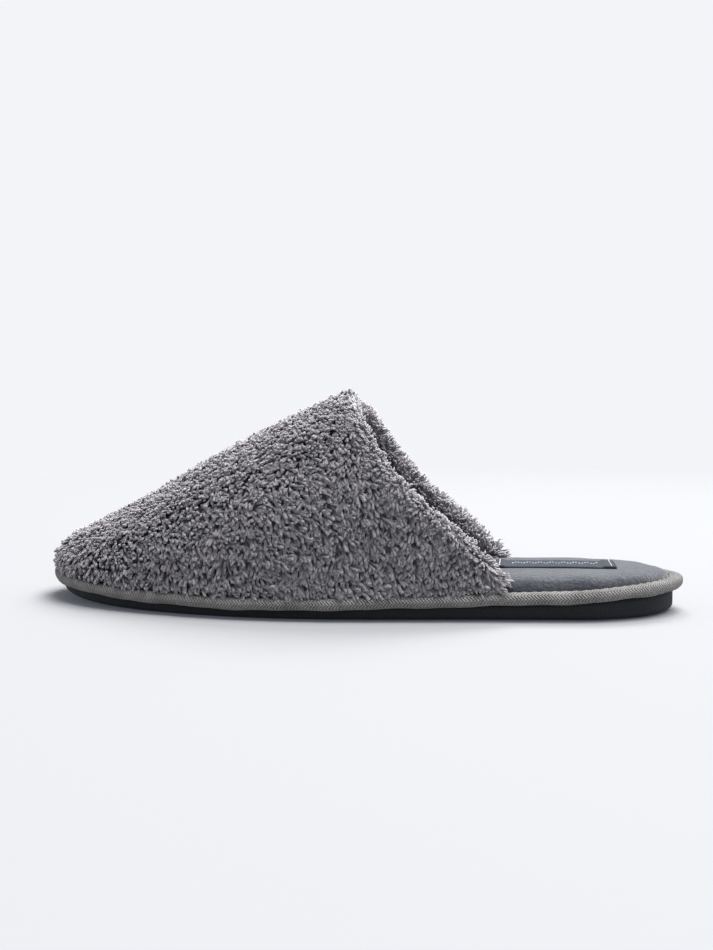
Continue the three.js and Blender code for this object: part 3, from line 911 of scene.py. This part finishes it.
def nap(roots, outs, seed):
    """The way that the pile lies: down the sides, and towards the heel along the binding."""
    drop = roots[:, 2] - pile_base_at(roots[:, 0])
    pull = np.column_stack([
        0.25 + 1.1 * np.exp(-drop / 4) + 0.85 * np.clip(outs[:, 2], 0, 1),
        0.9 * roots[:, 1] / (BALL_WIDTH / 2),
        np.full(len(roots), -1.0),
    ])
    flow = unit(pull - outs * (pull * outs).sum(1)[:, None])
    turn = 0.32 * soft_noise(roots, 26, seed) + 0.26 * soft_noise(roots, 9, seed + 1)
    turn += random.normal(0, 1, len(roots)) * (0.22 + 0.8 * np.clip(outs[:, 2], 0, 1) ** 4)
    side = np.cross(outs, flow)
    return unit(flow * np.cos(turn)[:, None] + side * np.sin(turn)[:, None])


def kept_in(roots, flows, length):
    """Lengths that end above the binding and inside the toe."""
    drop = roots[:, 2] - pile_base_at(roots[:, 0])
    length = np.minimum(length, (drop + 0.6) / np.maximum(-flows[:, 2], 0.05))
    toe_room = roots[:, 0] + LENGTH / 2 + 2
    return np.minimum(length, toe_room / np.maximum(-flows[:, 0], 0.05))


def on_vamp(count, margin):
    """Scattered places on the vamp in front of the collar and above the binding."""
    roots, outs = scatter_on(arch_grid(PILE_INSET + ROOT_DEPTH, 0, 72), count)
    in_front = roots[:, 0] < collar_x(roots[:, 2]) - ROLL_SETBACK - 1
    clear_of_rim = roots[:, 2] > pile_base_at(roots[:, 0]) + margin
    keep = np.flatnonzero(in_front & clear_of_rim)
    return roots[keep], outs[keep]


def make_pile():
    """Locks all over the vamp and a second set on its crown, each split into strands."""
    roots, outs = on_vamp(60000, margin=1.2)
    kept = spread(roots, apart=1.63)
    again, again_outs = on_vamp(12000, margin=1.2)
    crown = np.flatnonzero(again_outs[:, 2] > random.uniform(0.55, 0.95, len(again)))
    crown = crown[spread(again[crown], apart=1.6)]
    roots = np.concatenate([roots[kept], again[crown]])
    outs = np.concatenate([outs[kept], again_outs[crown]])
    count = len(roots)
    flows = nap(roots, outs, seed=3)
    length = np.maximum(kept_in(roots, flows, random.uniform(3.2, 5.3, count)), 1.6)
    flare = np.exp((pile_base_at(roots[:, 0]) - roots[:, 2]) / 9)
    upright = 1 + 0.1 * np.clip(outs[:, 2], 0, 1) ** 2 + 0.45 * flare
    lift = random.uniform(1.4, 3.1, count) * np.clip(length / 4.2, 0.6, 1) * upright
    width = random.uniform(2.1, 3.2, count)
    tone = random.normal(0, 0.09, count) + 0.06 * soft_noise(roots, size=30, seed=8)
    # Painted highlight on the low locks that flare out over the binding, painted shade on strands
    # that face straight up under the top light
    tone += 0.12 * flare - 0.05 * np.clip(outs[:, 2], 0, 1)
    fleece = (roots, outs, flows, length, width, lift, tone)
    made = []
    quarters = np.array_split(np.argsort(roots[:, 1]), 4)
    for part, chosen in zip(("outer", "outer_crown", "inner_crown", "inner"), quarters):
        locks = [values[chosen] for values in fleece]
        tufts = split(locks, number=3, splay=0.24)
        made.append(strands("pile_" + part, BLUNT, sides=4, fleece=tufts, curl=0.8))
    return made


def make_loose_fibres():
    """Single thin fibres that stand off the locks."""
    roots, outs = on_vamp(6500, margin=2)
    count = len(roots)
    flows = nap(roots, outs, seed=21)
    length = kept_in(roots, flows, random.uniform(3.5, 6.5, count))
    lift = random.uniform(3.0, 4.6, count)
    width = random.uniform(0.22, 0.4, count)
    tone = random.normal(0.1, 0.07, count)
    fleece = (roots, outs, flows, length, width, lift, tone)
    return strands("pile_fibres", FIBRE, sides=3, fleece=fleece, curl=0.6)


def make_collar_pile():
    """Softer and lighter pile that lies over the roll to the front, and backwards at its ends."""
    stations = 150
    end_share = 0.08
    line, way, heelwards, outwards = collar_frames(stations)
    count = 12000
    at = random.uniform(0, stations - 1.001, count)
    low = at.astype(int)
    share = (at - low)[:, None]

    def between(values):
        return values[low] * (1 - share) + values[low + 1] * share

    angle = random.uniform(-2.7, 2.7, count)
    back = unit(between(heelwards))
    out_way = unit(between(outwards))
    along = unit(between(way))
    outs = back * np.cos(angle)[:, None] + out_way * np.sin(angle)[:, None]
    flow = out_way * np.cos(angle)[:, None] - back * np.sin(angle)[:, None]
    roots = between(line) + outs * (ROLL_RADIUS - COLLAR_ROOT_DEPTH)
    turn = 0.4 * soft_noise(roots, size=14, seed=31) + random.normal(0, 0.25, count)
    flow = flow * np.cos(turn)[:, None] + along * np.sin(turn)[:, None]
    from_middle = np.abs(at / stations - 0.5) * 2
    ends = np.clip(from_middle / end_share - (1 / end_share - 1), 0, 1)[:, None]
    flow = unit(flow * (1 - ends) + np.array([1, 0, -0.5]) * ends)
    clear_of_rim = roots[:, 2] - 1.5 > pile_base_at(roots[:, 0])
    roots, outs, flow, ends = (v[clear_of_rim] for v in (roots, outs, flow, ends[:, 0]))
    kept = spread(roots, apart=1.15)
    roots, outs, flow, ends = (v[kept] for v in (roots, outs, flow, ends))
    count = len(roots)
    length = random.uniform(3.8, 5.8, count) * (1 + 0.4 * ends)
    lift = random.uniform(0.7, 1.7, count)
    width = random.uniform(1.7, 2.5, count)
    # The collar's strands are lighter: partly the collar's lighter plush, partly painted
    # highlight where the roll catches the top light
    tone = random.normal(0.24, 0.05, count)
    tufts = split((roots, outs, flow, length, width, lift, tone), number=4, splay=0.2)
    return strands("pile_collar", POINTED, sides=4, fleece=tufts, curl=0.8)


# Label: a woven strip with folded ends, sewn down
def make_label():
    half = LABEL_LENGTH / 2
    bpy.ops.object.select_all(action="DESELECT")
    bpy.ops.mesh.primitive_grid_add(x_subdivisions=52, y_subdivisions=14, size=1)
    label = bpy.context.object
    label.name = "label_strip"
    label.data.name = "label_strip"
    layer = label.data.uv_layers[0]
    layer.name = "cloth"
    for loop, spot in zip(label.data.loops, layer.data):
        corner = label.data.vertices[loop.vertex_index].co
        spot.uv = (corner.x * LABEL_LENGTH * MM, corner.y * LABEL_WIDTH * MM)
    for vertex in label.data.vertices:
        x = vertex.co.x * LABEL_LENGTH
        y = vertex.co.y * LABEL_WIDTH
        fold = LABEL_FOLD_RISE if abs(x) > half - LABEL_FOLD else 0
        edge = max(abs(y) - LABEL_WIDTH / 2 + 1.2, 0) * 0.25
        edge += max(abs(x) - half + 0.8, 0) * 0.5
        ripple = 0.12 * math.sin(x / 5.1 + 0.6) * abs(y) / LABEL_WIDTH
        z = float(cushion_at(x + LABEL_CENTRE)) + GAP + LABEL_LIFT + fold + ripple - edge
        vertex.co = Vector((x + LABEL_CENTRE, y + LABEL_ASIDE, z)) * MM
    label.data.materials.append(LABEL)
    only(label)
    bpy.ops.object.shade_smooth()
    thick = label.modifiers.new("thickness", "SOLIDIFY")
    thick.thickness = LABEL_THICKNESS * MM
    thick.offset = -1
    bpy.ops.object.modifier_apply(modifier="thickness")
    return label


def stitches(name, places, ways, length, thick, finish):
    """Short rounded threads, each at a place and along its own way."""
    bpy.ops.object.select_all(action="DESELECT")
    bpy.ops.mesh.primitive_uv_sphere_add(segments=6, ring_count=5, radius=1)
    seed = bpy.context.object
    shape = np.array([vertex.co for vertex in seed.data.vertices])
    faces = [list(face.vertices) for face in seed.data.polygons]
    bpy.data.objects.remove(seed)
    sides = unit(np.cross(UP, ways))
    ups = unit(np.cross(ways, sides))
    points = (
        places[:, None]
        + ways[:, None] * shape[None, :, 2:3] * length / 2
        + sides[:, None] * shape[None, :, :1] * thick / 2
        + ups[:, None] * shape[None, :, 1:2] * thick / 2
    )
    each = len(shape)
    all_faces = [[v + n * each for v in face] for n in range(len(places)) for face in faces]
    return new_piece(name, points.reshape(-1, 3), all_faces, [finish])


def make_label_stitches():
    """Seams across the folded ends and a plain zigzag between them."""
    half_x = LABEL_LENGTH / 2 - 2.2
    half_y = LABEL_WIDTH / 2 - 1.4
    seam_spacing = 2.1
    turn_spacing = 2.5
    run = 0.7
    rise = 1.4
    lift_on_fold = 0.98
    lift_on_strip = 0.56
    places = []
    ways = []
    for x in (-half_x, half_x):
        for y in np.arange(-half_y, half_y + 0.1, seam_spacing):
            places.append((x, y))
            ways.append((0.0, 1.0, 0.0))
    for k in range(-7, 8):
        side = 1 if k % 2 else -1
        for step in (-0.9, 0.9):
            places.append((k * turn_spacing + step * run, step * side * rise))
            ways.append((run, side * rise, 0.0))
    places = np.array(places)
    ways = unit(np.array(ways))
    x = places[:, 0] + LABEL_CENTRE
    lift = np.where(np.abs(places[:, 0]) > half_x - 1, lift_on_fold, lift_on_strip)
    spots = np.column_stack([x, places[:, 1] + LABEL_ASIDE, cushion_at(x) + GAP + lift])
    return stitches("label_stitches", spots, ways, 1.6, 0.55, LABEL_THREAD)


def make_tape_stitches():
    """A seam along the inner edge of the binding, round the heel."""
    loop = ring(BINDING_WIDTH - 0.7, lambda x: rim_at(x) + BINDING_HEIGHT * 0.93)
    walked = walked_along(loop)
    spots = at_walk(loop, walked, np.arange(0, walked[-1], TAPE_STITCH_SPACING))
    ways = unit(np.roll(spots, -1, 0) - np.roll(spots, 1, 0))
    rear = spots[:, 0] > TAPE_STITCHES_FROM
    return stitches("binding_stitches", spots[rear], ways[rear], 2.9, 0.62, TAPE_THREAD)


# Stage, lights and camera


def make_stage():
    """A floor that curves up into a wall, in metres. Away from the part it glows evenly."""
    near = 0.3
    blend = 0.9
    half_width = 4
    floor = Finish("floor", 0.9, Emission_Strength=1.0, Specular_IOR_Level=0.0)
    x, y, _ = floor.parts(floor.place())
    share = (((x * x + y * y) ** 0.5 - near) / blend).held()
    floor.colour(floor.mixed((0.3, 0.3015, 0.308, 1), (0, 0, 0, 1), share))
    glow = floor.mixed((0.041, 0.046, 0.061, 1), tint(243, 244, 248), share)
    floor.links.new(glow.socket, floor.shader.inputs["Emission Color"])
    profile = [(-half_width, 0), (2, 0)]
    profile += [(2 + math.sin(t), 1 - math.cos(t)) for t in np.linspace(0.1, math.pi / 2, 12)]
    profile.append((3, 5))
    points = [(x / MM, y / MM, z / MM) for y, z in profile for x in (-half_width, half_width)]
    faces = [[2 * i, 2 * i + 1, 2 * i + 3, 2 * i + 2] for i in range(len(profile) - 1)]
    stage = new_piece("stage", points, faces, [floor.material])


def make_lights():
    """Even light from all round, a soft one above and one behind."""
    world = bpy.data.worlds.new("studio")
    bpy.context.scene.world = world
    world.use_nodes = True
    sky = world.node_tree.nodes["Background"]
    sky.inputs["Color"].default_value = (0.96, 0.98, 1, 1)
    sky.inputs["Strength"].default_value = 0.5
    for name, place, size, power in (
        ("overhead", (0.8, -0.2, 2.9), 1.8, 147),
        ("behind", (0.3, 1.7, 2.5), 1.6, 113),
    ):
        lamp = bpy.data.lights.new(name, "AREA")
        lamp.size = size
        lamp.energy = power
        light = bpy.data.objects.new(name, lamp)
        light.location = place
        aim = Vector((0, 0, 0.03)) - Vector(place)
        light.rotation_euler = aim.to_track_quat("-Z", "Y").to_euler()
        bpy.context.scene.collection.objects.link(light)


def make_camera():
    """The photo's place of view, turned to take in the whole shoe."""
    downwards = 3.3
    to_the_left = 8.3
    data = bpy.data.cameras.new("camera")
    data.sensor_width = 36
    data.lens = 42.3
    camera = bpy.data.objects.new("camera", data)
    camera.location = (0.0733, -0.496, 0.086)
    camera.rotation_euler = (math.radians(90 - downwards), 0, math.radians(to_the_left))
    bpy.context.scene.collection.objects.link(camera)
    bpy.context.scene.camera = camera


# The object and what stands round it
bpy.context.scene.view_settings.view_transform = "Standard"
make_camera()
make_lights()
make_stage()

sole = make_sole()
binding = make_binding()
footbed = make_footbed()
backing = make_backing()
roll = make_roll()
pile = make_pile()
fibres = make_loose_fibres()
collar_pile = make_collar_pile()
label = make_label()
label_stitches = make_label_stitches()
tape_stitches = make_tape_stitches()

for piece, slot in (
    (sole, "sole_fabric"),
    (binding, "binding_tape"),
    (tape_stitches, "binding_tape"),
    (footbed, "insole_plush"),
    (backing, "upper_pile"),
    (roll, "upper_pile"),
    (fibres, "upper_pile"),
    (collar_pile, "upper_pile"),
    (label, "label_weave"),
    (label_stitches, "label_weave"),
    *((part, "upper_pile") for part in pile),
):
    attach(piece, "root")

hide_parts("outsole")
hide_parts("edge_binding")
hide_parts("insole")
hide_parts("upper")
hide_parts("label")
